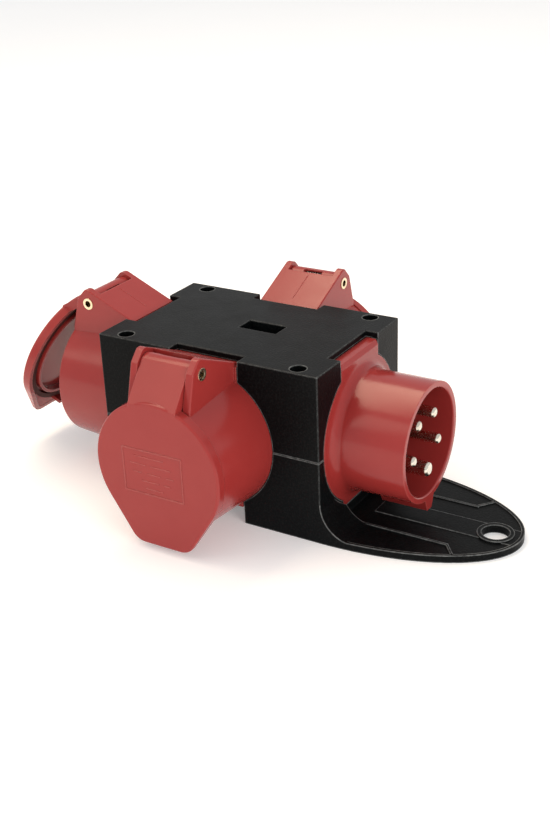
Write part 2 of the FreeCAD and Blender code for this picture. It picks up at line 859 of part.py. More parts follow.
def inlet_pins():
    """Four phase and neutral pins, and the thicker earth pin, all with rounded tips."""

    def pin(name, radius, reach, angle):
        y, z = clock_spot(angle)
        rod = out_rod(name + "_rod", radius, ("-dims.contact_back", reach), y, z)
        return rounded(name, rod, "dims.pin_tip_round", flat_at("X", size(reach)))

    pins = [pin(f"pin_{angle}", "dims.pin_rad", "dims.pin_reach", angle) for angle in CLOCK_ANGLES]
    finish("inlet_pins", group("inlet_pins", *pins), FACES["inlet"])
    earth = pin("inlet_earth_pin", "dims.earth_pin_rad", "dims.earth_pin_reach", 180)
    finish("inlet_earth_pin", earth, FACES["inlet"])


# ---------------------------------------------------------------- sockets


def hinge_block(name):
    """The wedge on top of the tube that ends in two ears, with the slot for the lid's knuckle."""
    wedge = side_profile(
        name + "_wedge",
        [
            ("-dims.wall", "dims.wedge_low"),
            ("-dims.wall", "dims.flange_top + dims.wedge_step"),
            ("dims.hinge_out - dims.ear_rear", "dims.hinge_z + dims.ear_rear_high"),
            ("dims.hinge_out + dims.ear_crest", "dims.hinge_z + dims.ear_crest_high"),
            ("dims.hinge_out + dims.ear_nose", "dims.hinge_z + dims.ear_nose_high"),
            ("dims.tube_reach - 0.3", "dims.axis_z + dims.rim_rad - 2.2"),
            ("dims.tube_reach", "dims.wedge_low"),
        ],
        ("-dims.ear_half", "dims.ear_half"),
    )
    ridge_z = size("dims.hinge_z + 4")

    def crest(edge):
        box = edge.BoundBox
        return box.YLength > 10 and box.ZMin > ridge_z - 4 and box.ZLength < 1e-3 and box.XMin > 20

    crowned = rounded(name + "_crown", wedge, "dims.crown_round", crest)
    ear_side = size("dims.ear_half")

    def outline(edge):
        return edge.BoundBox.YLength < 1e-3 and abs(abs(edge.BoundBox.YMin) - ear_side) < 1e-3

    softened = rounded(name + "_sides", crowned, "dims.ear_edge", outline)
    slot_back = "dims.hinge_out - dims.knuckle_rad - dims.slot_gap"
    slot_floor, slot_lip = "dims.hinge_z - dims.slot_floor", "dims.axis_z + dims.slot_lip"
    slot_front, slot_top = "dims.tube_reach + 2", "dims.hinge_z + 2 * dims.ear_rear_high"
    slot = side_profile(
        name + "_slot",
        [
            (slot_back, slot_top),
            (slot_back, slot_floor),
            ("dims.hinge_out + dims.slot_break", slot_floor),
            ("dims.tube_reach - 0.6", slot_lip),
            (slot_front, slot_lip),
            (slot_front, slot_top),
        ],
        ("-dims.slot_half", "dims.slot_half"),
    )
    return cut(name, softened, slot)


def socket_housing(face):
    """The flange with its tapered tube, the keyway along the bottom and the hinge block on top."""
    name = face + "_socket_housing"
    flange, plate = flange_parts(name)
    tube = doc.addObject("Part::Cone", name + "_tube")
    bind(tube, Radius1="dims.flange_rad", Radius2="dims.rim_rad", Height="dims.tube_reach")
    put(tube, OUT_OF_FACE, "0", "0", "dims.axis_z")
    foot = block(
        name + "_foot",
        ("-1", "dims.tube_reach + 1"),
        ("-dims.box_width", "dims.box_width"),
        ("dims.floor_z", "dims.box_height + 20"),
    )
    keyway_low = "dims.axis_z - dims.keyway_rad - dims.keyway_skin"
    keyway_top = "dims.axis_z - dims.keyway_top"
    bulge = block(
        name + "_bulge",
        ("dims.keyway_start - dims.keyway_skin", "dims.tube_reach"),
        ("-dims.keyway_half - dims.keyway_skin", "dims.keyway_half + dims.keyway_skin"),
        (keyway_low, keyway_top),
    )
    bulge_soft = rounded(
        name + "_bulge_soft",
        bulge,
        "dims.bulge_round",
        lambda edge: edge.BoundBox.XLength > 5 and edge.BoundBox.ZMax < size(keyway_low) + 0.1,
    )
    keyway = block(
        name + "_keyway",
        ("dims.keyway_start", "dims.tube_reach + 1"),
        ("-dims.keyway_half", "dims.keyway_half"),
        ("dims.axis_z - dims.keyway_rad", keyway_top),
    )
    bore = out_rod(name + "_bore", "dims.tube_bore", ("-dims.tube_floor", "dims.tube_reach + 1"))
    seat = out_rod(name + "_seat", "dims.insert_rad", (f"{KEEPER_BACK} - 1", "0"))
    ears = ("-dims.ear_half - 1", "dims.ear_half + 1")
    rivet_hole = side_rod(name + "_rivet_hole", "dims.rivet_rad", ears)
    solid = fuse(
        name + "_solid",
        flange,
        plate,
        common(name + "_barrel", tube, foot),
        hinge_block(name + "_hinge"),
        bulge_soft,
    )
    finish(name, cut(name, solid, bore, seat, keyway, rivet_hole), FACES[face])


def contact_sleeves(face):
    """The brass tubes that grip the pins of a plug."""

    def sleeve(name, radius, bore, angle):
        y, z = clock_spot(angle)
        tube = out_rod(name + "_tube", radius, ("-dims.contact_back", "dims.sleeve_front"), y, z)
        hole = out_rod(name + "_bore", bore, ("-dims.sleeve_bore_deep", "dims.sleeve_front + 1"), y, z)
        return cut(name, tube, hole)

    sleeves = [
        sleeve(f"{face}_sleeve_{angle}", "dims.sleeve_rad", "dims.sleeve_bore", angle)
        for angle in CLOCK_ANGLES
    ]
    finish(face + "_contact_sleeves", group(face + "_contact_sleeves", *sleeves), FACES[face])
    earth = sleeve(face + "_earth_sleeve", "dims.earth_sleeve_rad", "dims.earth_sleeve_bore", 180)
    finish(face + "_earth_sleeve", earth, FACES[face])


def hinge_rivet(face):
    """The hollow rivet that the lid swings on, with a small rolled head at each end."""
    name = face + "_hinge_rivet"
    shaft = side_rod(name + "_shaft", "dims.rivet_rad", ("-dims.ear_half", "dims.ear_half"))
    heads = []
    for side, (low, high) in {
        "near": ("-dims.ear_half - dims.rivet_head_high", "-dims.ear_half"),
        "far": ("dims.ear_half", "dims.ear_half + dims.rivet_head_high"),
    }.items():
        heads.append(side_rod(f"{name}_head_{side}", "dims.rivet_head_rad", (low, high)))
    bore = side_rod(name + "_bore", "dims.rivet_bore", ("-dims.ear_half - 2", "dims.ear_half + 2"))
    finish(name, cut(name, fuse(name + "_solid", shaft, *heads), bore), FACES[face])


def lid_spring(face):
    """The closing spring: a coil round the rivet, one leg on the block and one behind the lid's neck."""
    name = face + "_lid_spring"
    pitch = size("dims.coil_pitch")
    length = size("dims.coil_turns") * pitch
    helix = Part.makeHelix(pitch, length, size("dims.coil_rad"))
    from_below = Rotation(Vector(0, 1, 0), 90).multiply(SIDEWAYS)
    helix.Placement = Placement(Vector(size("dims.hinge_out"), -length / 2, size("dims.hinge_z")), from_below)
    first, last = helix.Edges[0], helix.Edges[-1]
    start, heading = first.valueAt(first.FirstParameter), first.tangentAt(first.FirstParameter)
    end, leaving = last.valueAt(last.LastParameter), last.tangentAt(last.LastParameter)
    radius = size("dims.coil_wire_rad")
    section = Part.Wire(Part.makeCircle(radius, start, heading))
    coil = Part.Wire(helix.Edges).makePipeShell([section], True, True)
    legs = [
        Part.makeCylinder(radius, size("dims.coil_leg"), spot, way)
        for spot, way in ((start, heading.negative()), (end, leaving))
    ]
    item = doc.addObject("Part::Feature", name)
    item.Shape = coil.fuse(legs).removeSplitter()
    finish(name, item, FACES[face])


def tab_outline(name, inset, x):
    """The lid's outline: a disc that runs down in two straight sides to a tab with rounded corners."""
    disc = out_rod(name + "_disc", f"dims.lid_rad - {inset}", x)
    corner_z = "dims.tab_bottom + dims.tab_corner"
    corner_rad = f"dims.tab_corner - {inset}"
    corners = [
        out_rod(f"{name}_corner_{side}", corner_rad, x, f"{sign} * dims.tab_corner_y", corner_z)
        for side, sign in (("a", -1), ("b", 1))
    ]
    cosine = "cos(dims.tab_angle * 1 deg)"
    sine = "sin(dims.tab_angle * 1 deg)"
    disc_y = f"(dims.lid_rad - {inset}) * {cosine}"
    disc_z = f"dims.axis_z - (dims.lid_rad - {inset}) * {sine}"
    corner_y = f"dims.tab_corner_y + ({corner_rad}) * {cosine}"
    corner_low = f"{corner_z} - ({corner_rad}) * {sine}"
    flat_y = "dims.tab_corner_y"
    flat_z = f"dims.tab_bottom + {inset}"
    web = front_profile(
        name + "_web",
        [
            (f"-({disc_y})", disc_z),
            (f"-({corner_y})", corner_low),
            (f"-({flat_y})", flat_z),
            (flat_y, flat_z),
            (corner_y, corner_low),
            (disc_y, disc_z),
        ],
        x,
    )
    return fuse(name, disc, web, *corners)


def neck_angle():
    """The direction in which the neck's outer face lies off the hinge line, in degrees above level."""
    run = size("dims.lid_face - dims.hinge_out")
    drop = size("dims.hinge_z - dims.axis_z - dims.lid_rad + dims.neck_sunk")
    reach = math.hypot(run, drop)
    return math.degrees(math.acos(size("dims.knuckle_rad") / reach) - math.atan2(drop, run))


def lid(face, placement):
    """The hinged cover: a shallow cap with a finger tab, and a sloping neck up to the knuckle."""
    name = face + "_lid"
    plate_back = "dims.lid_face - dims.lid_plate"
    shell_out = tab_outline(name + "_cap", "0", ("dims.lid_back", "dims.lid_face"))
    cap = rounded(name + "_cap_soft", shell_out, "dims.lid_edge", flat_at("X", size("dims.lid_face")))
    room = tab_outline(name + "_room", "dims.lid_wall", ("dims.lid_back - 1", plate_back))

    lean = neck_angle()
    cosine, sine = f"cos({lean} deg)", f"sin({lean} deg)"
    foot_z = "dims.axis_z + dims.lid_rad - dims.neck_sunk"

    def off_hinge(reach):
        return f"dims.hinge_out + ({reach}) * {cosine}", f"dims.hinge_z + ({reach}) * {sine}"

    outer = ("dims.lid_face", foot_z)
    crest = off_hinge("dims.knuckle_rad")
    neck = side_profile(
        name + "_neck",
        [
            outer,
            crest,
            off_hinge("dims.knuckle_rad - dims.lid_plate"),
            (plate_back, f"{foot_z} - 0.2"),
            (plate_back, f"{foot_z} - dims.neck_root"),
            ("dims.lid_face", f"{foot_z} - dims.neck_root"),
        ],
        ("-dims.knuckle_half", "dims.knuckle_half"),
    )
    cheeks = [
        side_profile(
            f"{name}_cheek_{side}",
            [
                outer,
                crest,
                ("dims.hinge_out + dims.cheek_front", "dims.hinge_z - dims.cheek_low"),
                ("dims.lid_back", f"{foot_z} - 0.8"),
                ("dims.lid_back", f"{foot_z} - dims.cheek_foot"),
                ("dims.lid_face", f"{foot_z} - dims.cheek_foot"),
            ],
            y,
        )
        for side, y in (
            ("a", ("-dims.knuckle_half", "-dims.knuckle_half + dims.neck_wall")),
            ("b", ("dims.knuckle_half - dims.neck_wall", "dims.knuckle_half")),
        )
    ]
    knuckle = side_rod(name + "_knuckle", "dims.knuckle_rad", ("-dims.knuckle_half", "dims.knuckle_half"))
    skirt_taper = side_profile(
        name + "_skirt_taper",
        [
            ("dims.lid_back - 1", "dims.taper_top"),
            ("dims.lid_back", "dims.taper_top"),
            (plate_back, "dims.tab_bottom + 1"),
            (plate_back, "dims.tab_bottom - 1"),
            ("dims.lid_back - 1", "dims.tab_bottom - 1"),
        ],
        ("-dims.lid_rad - 1", "dims.lid_rad + 1"),
    )
    hook = block(
        name + "_hook",
        ("dims.hook_back", f"{plate_back} + 1"),
        ("-dims.hook_half", "dims.hook_half"),
        ("dims.hook_low", "dims.hook_low + dims.hook_thick"),
    )
    rib_back = f"{plate_back} - dims.ring_rib_high"
    ring_rib = cut(
        name + "_ring_rib",
        out_rod(name + "_ring_outer", "dims.ring_rib_outer", (rib_back, "dims.lid_face - 1")),
        out_rod(name + "_ring_inner", "dims.ring_rib_inner", (f"{rib_back} - 1", "dims.lid_face")),
    )
    solid = fuse(
        name + "_solid",
        cut(name + "_shell", cap, room, skirt_taper),
        neck,
        hook,
        ring_rib,
        label_frame(name),
        *cheeks,
        knuckle,
    )
    coil_y = ("-dims.coil_room_half", "dims.coil_room_half")
    behind, below = "dims.hinge_out - dims.leg_room_back", "dims.hinge_z - dims.leg_room_back"
    ahead, above = "dims.hinge_out + dims.leg_room_front", "dims.hinge_z + dims.leg_room_back"
    coil_room = fuse(
        name + "_coil_room",
        side_rod(name + "_coil_bore", "dims.coil_room_rad", coil_y),
        block(name + "_leg_room_low", (behind, ahead), coil_y, (below, "dims.hinge_z - dims.leg_room_top")),
        block(name + "_leg_room_rear", (behind, "dims.hinge_out - 1"), coil_y, (below, above)),
    )
    bore = side_rod(name + "_bore", "dims.knuckle_bore", ("-dims.ear_half", "dims.ear_half"))
    finish(name, cut(name, solid, coil_room, bore), placement)


def label_frame(name):
    """A raised hairline rectangle on the lid's face."""
    y_mid, z_mid = "-dims.label_off_y", "dims.axis_z - dims.label_off_z"
    half_long, half_high = "dims.label_long / 2", "dims.label_high / 2"
    x = ("dims.lid_face - 0.5", "dims.lid_face + dims.label_rise")
    plate = block(
        name + "_label_outer",
        x,
        (f"{y_mid} - {half_long}", f"{y_mid} + {half_long}"),
        (f"{z_mid} - {half_high}", f"{z_mid} + {half_high}"),
    )
    window = block(
        name + "_label_inner",
        ("dims.lid_face - 1", "dims.lid_face + 1"),
        (f"{y_mid} - {half_long} + dims.label_line", f"{y_mid} + {half_long} - dims.label_line"),
        (f"{z_mid} - {half_high} + dims.label_line", f"{z_mid} + {half_high} - dims.label_line"),
    )
    return cut(name + "_label", plate, window)


def lid_gasket(face, placement):
    """The seal ring in the lid that closes on the tube's rim."""
    name = face + "_lid_gasket"
    x = ("dims.lid_back", "dims.lid_face - dims.lid_plate")
    ring = cut(
        name,
        out_rod(name + "_outer", "dims.seal_outer", x),
        out_rod(name + "_inner", "dims.seal_inner", ("dims.lid_back - 1", "dims.lid_face")),
    )
    finish(name, ring, placement)


def opened(face, angle):
    """A lid's placement on its face, swung open by an angle in degrees."""
    hinge = Vector(size("dims.hinge_out"), 0, size("dims.hinge_z"))
    return FACES[face].multiply(Placement(Vector(), Rotation(Vector(0, 1, 0), -angle), hinge))


# ---------------------------------------------------------------- wiring


def conductor(name, level, angle):
    """One insulated conductor: four legs from the contacts' back ends to a splice inside the box."""
    radius = size("dims.wire_rad")
    splice_z = size(f"dims.splice_low_z + {level} * dims.splice_step")
    centre = Vector(MIDDLE_X, 0, splice_z)
    splice_half = size("dims.splice_half")
    splice_foot = centre - Vector(0, 0, splice_half)
    pieces = [Part.makeCylinder(size("dims.splice_rad"), 2 * splice_half, splice_foot)]
    circle, back = size("dims.pin_circle"), -size("dims.contact_back")
    for face, placement in FACES.items():
        side = 1 if face == "inlet" else -1
        y = side * circle * math.sin(math.radians(angle))
        z = size("dims.axis_z") + circle * math.cos(math.radians(angle))
        start = placement.multVec(Vector(back, y, z))
        bend = placement.multVec(Vector(back - size("dims.wire_tail"), y, z))
        for a, b in ((start, bend), (bend, centre)):
            pieces.append(Part.makeCylinder(radius, a.distanceToPoint(b), a, b - a))
        pieces.append(Part.makeSphere(radius, bend))
    item = doc.addObject("Part::Feature", name)
    item.Shape = pieces[0].fuse(pieces[1:]).removeSplitter()
    finish(name, item)


def build():
    top_cover()
    base_shell()
    cover_screws()
    inlet_housing()
    inlet_pins()
    flange_gasket("inlet")
    insert("inlet", "dims.inlet_insert_front", "dims.pin_rad", "dims.earth_pin_rad")
    terminal_screws("inlet")
    for face in ("front", "left", "back"):
        swing = opened(face, size("dims.ajar_angle") if face == "left" else 0)
        socket_housing(face)
        flange_gasket(face)
        insert(face, "dims.socket_insert_front", "dims.sleeve_rad", "dims.earth_sleeve_rad")
        contact_sleeves(face)
        terminal_screws(face)
        hinge_rivet(face)
        lid_spring(face)
        lid(face, swing)
        lid_gasket(face, swing)
    conductors = {
        "earth_wire": 180,
        "phase_1_wire": 108,
        "phase_2_wire": 252,
        "phase_3_wire": 36,
        "neutral_wire": 324,
    }
    for level, (name, angle) in enumerate(conductors.items()):
        conductor(name, level, angle)


def export():
    """Checks every object and writes each sub-part to its own file."""
    doc.recompute()
    faults = [item.Name for item in doc.Objects if {"Invalid", "Error"} & set(item.State)]
    for node, item in SUBPARTS:
        shape = item.Shape
        if shape.isNull() or not shape.isValid() or not shape.Solids:
            faults.append(node)
    if faults:
        raise RuntimeError("faulty objects: " + ", ".join(faults))
    os.makedirs("parts", exist_ok=True)
    for node, item in SUBPARTS:
        item.Shape.exportStep(f"parts/{node}.step")
        print(f"{node}: {len(item.Shape.Solids)} solid(s), {item.Shape.Volume / 1000:.2f} cm3")


build()
export()
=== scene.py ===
import json
import math

import bpy
from mathutils import Matrix, Vector


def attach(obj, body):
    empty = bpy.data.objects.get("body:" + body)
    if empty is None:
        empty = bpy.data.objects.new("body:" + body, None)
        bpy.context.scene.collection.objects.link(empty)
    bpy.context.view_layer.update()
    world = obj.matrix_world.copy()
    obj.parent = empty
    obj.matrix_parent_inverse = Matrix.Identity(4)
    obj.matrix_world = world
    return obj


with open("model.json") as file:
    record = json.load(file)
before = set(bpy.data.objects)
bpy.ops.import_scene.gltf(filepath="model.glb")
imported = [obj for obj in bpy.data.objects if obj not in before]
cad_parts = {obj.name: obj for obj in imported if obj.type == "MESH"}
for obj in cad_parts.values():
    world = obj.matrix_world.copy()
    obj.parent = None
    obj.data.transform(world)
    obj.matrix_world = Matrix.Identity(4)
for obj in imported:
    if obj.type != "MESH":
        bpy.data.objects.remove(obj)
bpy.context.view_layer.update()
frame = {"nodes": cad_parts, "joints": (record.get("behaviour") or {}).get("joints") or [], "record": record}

MM = 0.001
NODES = frame["nodes"]
FACES = ("front", "left", "back")


# ---------------------------------------------------------------- node helpers

MIX_SOCKETS = (0, 6, 7)  # factor, then the first and the second colour
BEVEL_SAMPLES = 6
EDGE_SAMPLES = 12
FLAT_OPEN, EDGE_OPEN = 0.94, 0.74  # how open the inside looks from a flat face and from an edge


def new_material(name):
    """An empty material with one Principled shader."""
    mat = bpy.data.materials.new(name)
    mat.use_nodes = True
    tree = mat.node_tree
    tree.nodes.clear()
    out = tree.nodes.new("ShaderNodeOutputMaterial")
    shader = tree.nodes.new("ShaderNodeBsdfPrincipled")
    tree.links.new(shader.outputs["BSDF"], out.inputs["Surface"])
    return mat, tree, shader


def put(tree, node, socket, value):
    """Sets a socket to a value, or links it to (node, output)."""
    if isinstance(value, tuple) and isinstance(value[0], bpy.types.Node):
        tree.links.new(value[0].outputs[value[1]], node.inputs[socket])
    else:
        node.inputs[socket].default_value = value


def add(tree, kind, **values):
    """A node whose properties and sockets are set by name; a tuple (node, output) is linked."""
    node = tree.nodes.new(kind)
    for key, value in values.items():
        if key in node.inputs:
            put(tree, node, key, value)
        else:
            setattr(node, key, value)
    return node


def object_coords(tree):
    return tree.nodes.new("ShaderNodeTexCoord"), "Object"


def noise(tree, coords, scale, detail=3.0, rough=0.55):
    return add(tree, "ShaderNodeTexNoise", Vector=coords, Scale=scale, Detail=detail, Roughness=rough)


def ramp(tree, factor, low, high):
    """A colour ramp between two (position, colour) stops."""
    node = add(tree, "ShaderNodeValToRGB", Fac=factor)
    for element, (position, colour) in zip(node.color_ramp.elements, (low, high)):
        element.position = position
        element.color = (*colour, 1)
    return node


def span(tree, value, low, high, to_low, to_high):
    """Maps a value from low..high to to_low..to_high."""
    node = add(tree, "ShaderNodeMapRange", Value=value)
    for socket, number in zip(("From Min", "From Max", "To Min", "To Max"), (low, high, to_low, to_high)):
        node.inputs[socket].default_value = number
    return node


def times(tree, a, b):
    """The product of two linked values."""
    node = add(tree, "ShaderNodeMath", operation="MULTIPLY")
    for socket, value in enumerate((a, b)):
        put(tree, node, socket, value)
    return node


def mix(tree, factor, a, b):
    """A colour between two colours."""
    node = add(tree, "ShaderNodeMix", data_type="RGBA")
    for socket, value in zip(MIX_SOCKETS, (factor, a, b)):
        put(tree, node, socket, value)
    return node


def bump(tree, height, depth, normal=None):
    """Relief from a noise, its depth in mm, over another normal where one is given."""
    node = add(tree, "ShaderNodeBump", Strength=1.0, Distance=depth * MM, Height=(height, "Fac"))
    if normal:
        put(tree, node, "Normal", (normal, "Normal"))
    return node


def soft_edges(tree, radius):
    """Normals that run round every edge, as if it had a small radius in mm."""
    return add(tree, "ShaderNodeBevel", samples=BEVEL_SAMPLES, Radius=radius * MM)


def edge_mask(tree, reach):
    """Where a surface turns over an outer edge: 0 on flat faces, 1 on the edge."""
    inside = add(
        tree,
        "ShaderNodeAmbientOcclusion",
        samples=EDGE_SAMPLES,
        inside=True,
        only_local=True,
        Distance=reach * MM,
    )
    return span(tree, (inside, "AO"), FLAT_OPEN, EDGE_OPEN, 0.0, 1.0)


# ---------------------------------------------------------------- kinds of material

# scales of the noises, in cells per metre
DRIFT = 28.0
SMEAR = 75.0
WAVE = 160.0
# the noise at the next scale only interrupts the painted highlight along the edges
HIGHLIGHT_BREAKUP = 420.0
TARNISH = 260.0
TOOL_MARKS = 1400.0
PATCHES = 180.0
WIRE_GRAIN = 1500.0

WIRE_RELIEF = 0.01  # mm
METAL_EDGE = 0.25  # mm


def moulded(name, colour, light, edge, rough, grain, depth, peel=0.0, specular=0.5, radius=0.45, speck=0.0):
    """Moulded plastic or rubber.

    Its colour drifts slowly from colour to light. A fine grain of a depth in mm lies over slow waves of the
    depth peel. Edges are softened by a radius in mm and carry a painted highlight in the edge colour,
    interrupted by a coarser noise, and speck says how much of that colour the grain's peaks take as painted
    glints.
    """
    mat, tree, shader = new_material(name)
    coords = object_coords(tree)
    drift = noise(tree, coords, DRIFT, 4.0, 0.6)
    tone = ramp(tree, (drift, "Fac"), (0.3, colour), (0.72, light))
    fine = noise(tree, coords, grain, 2.0, 0.5)
    # painted glints: the grain's peaks take some of the edge colour
    peaks = span(tree, (fine, "Fac"), 0.46, 0.66, 0.0, speck)
    glinted_tone = mix(tree, (peaks, "Result"), (tone, "Color"), (*edge, 1))
    # painted highlight along every outer edge, in the edge colour, interrupted by a coarser noise
    breakup_noise = noise(tree, coords, HIGHLIGHT_BREAKUP, 5.0, 0.7)
    highlight_breakup = span(tree, (breakup_noise, "Fac"), 0.35, 0.65, 0.3, 1.0)
    edge_highlight = times(tree, (edge_mask(tree, radius), "Result"), (highlight_breakup, "Result"))
    highlighted_tone = mix(tree, (edge_highlight, "Value"), (glinted_tone, "Result"), (*edge, 1))
    put(tree, shader, "Base Color", (highlighted_tone, "Result"))

    smear = noise(tree, coords, SMEAR, 5.0, 0.62)
    dull = span(tree, (smear, "Fac"), 0.3, 0.75, rough - 0.05, rough + 0.07)
    put(tree, shader, "Roughness", (dull, "Result"))

    waves = bump(tree, noise(tree, coords, WAVE, 2.0, 0.4), peel, soft_edges(tree, radius))
    put(tree, shader, "Normal", (bump(tree, fine, depth, waves), "Normal"))
    shader.inputs["Specular IOR Level"].default_value = specular
    return mat


def metal(name, colour, dark, rough, depth, scratch=TOOL_MARKS):
    """Plated or turned metal with fine tool marks and a little tarnish."""
    mat, tree, shader = new_material(name)
    coords = object_coords(tree)
    blotch = noise(tree, coords, TARNISH, 5.0, 0.65)
    tone = ramp(tree, (blotch, "Fac"), (0.32, dark), (0.62, colour))
    put(tree, shader, "Base Color", (tone, "Color"))
    marks = noise(tree, coords, scratch, 3.0, 0.6)
    dull = span(tree, (marks, "Fac"), 0.3, 0.7, rough - 0.06, rough + 0.1)
    put(tree, shader, "Roughness", (dull, "Result"))
    put(tree, shader, "Normal", (bump(tree, marks, depth, soft_edges(tree, METAL_EDGE)), "Normal"))
    shader.inputs["Metallic"].default_value = 1.0
    return mat


def insulation(name, colour, other):
    """Wire insulation in patches of two colours."""
    mat, tree, shader = new_material(name)
    coords = object_coords(tree)
    patches = noise(tree, coords, PATCHES, 1.0, 0.3)
    tone = ramp(tree, (patches, "Fac"), (0.48, colour), (0.52, other))
    put(tree, shader, "Base Color", (tone, "Color"))
    fine = noise(tree, coords, WIRE_GRAIN, 2.0, 0.5)
    dull = span(tree, (fine, "Fac"), 0.3, 0.7, 0.32, 0.46)
    put(tree, shader, "Roughness", (dull, "Result"))
    put(tree, shader, "Normal", (bump(tree, fine, WIRE_RELIEF), "Normal"))
    return mat


# ---------------------------------------------------------------- materials

# each moulding's edge colour is a painted highlight, laid along its outer edges and as painted glints on the
# grain's peaks
RED = {"colour": (0.290, 0.027, 0.025), "light": (0.318, 0.033, 0.030), "edge": (0.40, 0.072, 0.064)}
BLACK = {"colour": (0.0018, 0.0023, 0.0028), "light": (0.0032, 0.0040, 0.0043), "edge": (0.19, 0.20, 0.20)}
INSERT = {"colour": (0.02, 0.019, 0.018), "light": (0.03, 0.028, 0.026), "edge": (0.07, 0.07, 0.07)}
RUBBER = {"colour": (0.012, 0.012, 0.012), "light": (0.02, 0.02, 0.02), "edge": (0.04, 0.04, 0.04)}
SEAL = {"colour": (0.05, 0.014, 0.012), "light": (0.075, 0.02, 0.017), "edge": (0.10, 0.03, 0.026)}

MOULDINGS = {
    "black_shell": dict(
        BLACK, rough=0.33, grain=1100.0, depth=0.10, radius=0.6, specular=0.065, speck=0.022
    ),
    "red_shell": dict(RED, rough=0.19, grain=1900.0, depth=0.003, specular=0.36, peel=0.008),
    "red_lid": dict(RED, rough=0.21, grain=1900.0, depth=0.004, specular=0.32, peel=0.008),
    "dark_insert": dict(INSERT, rough=0.42, grain=2200.0, depth=0.02),
    "black_rubber": dict(RUBBER, rough=0.6, grain=3000.0, depth=0.03, specular=0.3),
    "seal_rubber": dict(SEAL, rough=0.55, grain=3000.0, depth=0.02, specular=0.1),
}
METALS = {
    "nickel_brass": dict(colour=(0.86, 0.82, 0.72), dark=(0.66, 0.60, 0.50), rough=0.2, depth=0.006),
    "brass": dict(colour=(0.95, 0.82, 0.58), dark=(0.80, 0.62, 0.38), rough=0.26, depth=0.006),
    "zinc_steel": dict(
        colour=(0.66, 0.66, 0.64), dark=(0.36, 0.36, 0.35), rough=0.3, depth=0.01, scratch=1100.0
    ),
}
WIRES = {
    "green_yellow_wire": ((0.09, 0.33, 0.06), (0.62, 0.55, 0.05)),
    "brown_wire": ((0.11, 0.045, 0.02), (0.13, 0.055, 0.026)),
    "black_wire": ((0.015, 0.015, 0.016), (0.02, 0.02, 0.021)),
    "grey_wire": ((0.21, 0.21, 0.21), (0.24, 0.24, 0.24)),
    "blue_wire": ((0.03, 0.12, 0.36), (0.035, 0.135, 0.4)),
}
LOOKS = {slot: moulded(slot, **values) for slot, values in MOULDINGS.items()}
LOOKS.update((slot, metal(slot, **values)) for slot, values in METALS.items())
LOOKS.update((slot, insulation(slot, *colours)) for slot, colours in WIRES.items())

for part in frame["record"]["subparts"]:
    node = NODES[part["node"]]
    node.data.materials.clear()
    node.data.materials.append(LOOKS[part["material_slot"]])


# ---------------------------------------------------------------- faces and lids

JOINTS = {joint["child"]: joint for joint in frame["joints"]}
BOX = NODES["top_cover"].dimensions
HALF_LONG, HALF_WIDE = BOX.x / 2, BOX.y / 2
FACE_FRAMES = {  # the middle of each socket's wall, and how far its outward direction is turned from +X
    "front": ((-HALF_LONG, -HALF_WIDE, 0.0), -90),
    "left": ((-2 * HALF_LONG, 0.0, 0.0), 180),
    "back": ((-HALF_LONG, HALF_WIDE, 0.0), 90),
}


def on_face(face):
    """From a socket's own frame (x out of the wall, z up) to the part's frame."""
    place, turned = FACE_FRAMES[face]
    return Matrix.Translation(place) @ Matrix.Rotation(math.radians(turned), 4, "Z")


def at_rest(face):
    """From a closed lid to that lid as it stands at rest."""
    joint = JOINTS[face + "_lid_body"]
    hinge = Matrix.Translation(joint["pos_m"])
    closed = math.radians(joint["range_deg"][0])
    return hinge @ Matrix.Rotation(-closed, 4, Vector(joint["axis"])) @ hinge.inverted()


# ---------------------------------------------------------------- moulded details

CORNERS = ((-1, -1), (1, -1), (1, 1), (-1, 1))
# a bar's section from foot to crest: how much is left of its length and of its width, and its height
BAR_SECTION = ((1.0, 1.0, -0.3), (1.0, 1.0, 0.45), (0.96, 0.72, 0.85), (0.9, 0.3, 1.0))
END_SLOPE = 4  # a bar's ends slope this many times as gently as its sides


def bar(verts, faces, half, middle, along, across, outward, height):
    """Adds one low ridge with sloping sides to a mesh; half holds its half length and half width."""
    half_long, half_wide = half
    start = len(verts)
    for keep_long, keep_wide, rise in BAR_SECTION:
        reach = half_long - half_wide * (1 - keep_long) * END_SLOPE
        for u, v in CORNERS:
            point = middle + along * u * reach + across * v * half_wide * keep_wide
            verts.append(point + outward * height * rise)
    count = len(CORNERS)
    top = start + count * (len(BAR_SECTION) - 1)
    for ring in range(start, top, count):
        for corner in range(count):
            a, b = ring + corner, ring + (corner + 1) % count
            faces.append((a, b, b + count, a + count))
    faces.append(tuple(range(top, top + count)))
    faces.append(tuple(reversed(range(start, start + count))))


def detail(name, move, verts, faces, body, look):
    """A detail piece that rides on a body."""
    mesh = bpy.data.meshes.new(name)
    mesh.from_pydata([tuple(move @ v) for v in verts], [], faces)
    mesh.materials.append(LOOKS[look])
    item = bpy.data.objects.new(name, mesh)
    bpy.context.scene.collection.objects.link(item)
    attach(item, body)


Y_AXIS, Z_AXIS, OUTWARD = Vector((0, 1, 0)), Vector((0, 0, 1)), Vector((1, 0, 0))

SLOPE_START, SLOPE_END = Vector((-0.003, 0, 0.0792)), Vector((0.0235, 0, 0.09105))
LINE_HALF = (0.0085, 0.00022)
LINE_HIGH = 0.00016
LINE_AT = 0.46  # how far up the slope the parting line's middle is


def moulding_line(face):
    """The parting line along the slope of a hinge block."""
    run = SLOPE_END - SLOPE_START
    along = run.normalized()
    upward = Vector((-along.z, 0, along.x))
    verts, faces = [], []
    bar(verts, faces, LINE_HALF, SLOPE_START + run * LINE_AT, along, Y_AXIS, upward, LINE_HIGH)
    detail(face + "_moulding_line", on_face(face), verts, faces, "root", "red_shell")


